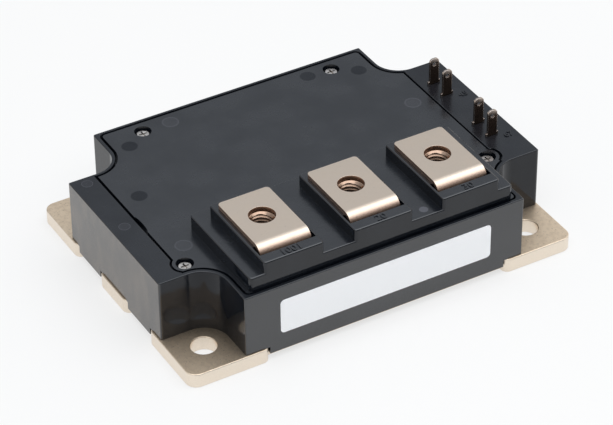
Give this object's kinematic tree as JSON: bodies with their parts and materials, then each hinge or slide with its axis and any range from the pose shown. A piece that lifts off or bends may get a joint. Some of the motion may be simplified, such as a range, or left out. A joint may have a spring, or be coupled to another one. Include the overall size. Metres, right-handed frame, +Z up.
{
  "type": "igbt module",
  "caption": "Flat power semiconductor module with a plated base plate, black moulded housing and lid, bolted power terminals and upright control tabs.",
  "frame": {"origin": "centre of the base plate's underside, between the four mounting holes", "axes": "+Z up out of the cooling face, +X along the length towards the control tabs, +Y away from the side with the terminals and the label"},
  "size_m": [0.11, 0.0806, 0.0297],
  "materials": {
    "nickel_plate": "satin nickel plating over copper, lightly speckled",
    "terminal_plate": "satin nickel plating over copper strip, bare copper at the cut edges",
    "tab_plate": "dark tin plating over bronze strip",
    "black_plastic": "glass-filled polyester, satin black moulding",
    "screw_steel": "zinc-plated steel",
    "nut_brass": "tapped brass, copper toned",
    "label_paper": "blank white label",
    "copper": "bare copper foil",
    "ceramic_white": "white alumina",
    "silicon": "polished dark grey silicon",
    "bond_aluminium": "bright drawn aluminium",
    "lead_cover": "off-white silicone insulation",
    "seal_silicone": "grey silicone adhesive",
    "gel_clear": "clear soft silicone gel"
  },
  "bodies": {
    "root": {"base_plate": "nickel_plate", "bottom_foil_left": "copper", "bottom_foil_right": "copper", "bridge_strap": "copper", "case_seal": "seal_silicone", "ceramic_left": "ceramic_white", "ceramic_right": "ceramic_white", "collector_track_left": "copper", "collector_track_right": "copper", "control_lead_1": "lead_cover", "control_lead_2": "lead_cover", "control_lead_3": "lead_cover", "control_lead_4": "lead_cover", "control_tab_1": "tab_plate", "control_tab_2": "tab_plate", "control_tab_3": "tab_plate", "control_tab_4": "tab_plate", "diode_chip_left_back": "silicon", "diode_chip_left_front": "silicon", "diode_chip_right_back": "silicon", "diode_chip_right_front": "silicon", "emitter_track_left": "copper", "emitter_track_right": "copper", "gate_ribbons_left": "bond_aluminium", "gate_ribbons_right": "bond_aluminium", "gate_track_left": "copper", "gate_track_right": "copper", "gel_fill": "gel_clear", "housing": "black_plastic", "label": "label_paper", "lid": "black_plastic", "lid_screws": "screw_steel", "power_ribbons_left": "bond_aluminium", "power_ribbons_right": "bond_aluminium", "sense_track_left": "copper", "sense_track_right": "copper", "terminal_left": "terminal_plate", "terminal_middle": "terminal_plate", "terminal_nuts": "nut_brass", "terminal_right": "terminal_plate", "transistor_chip_left_back": "silicon", "transistor_chip_left_front": "silicon", "transistor_chip_right_back": "silicon", "transistor_chip_right_front": "silicon"}
  },
  "joints": []
}
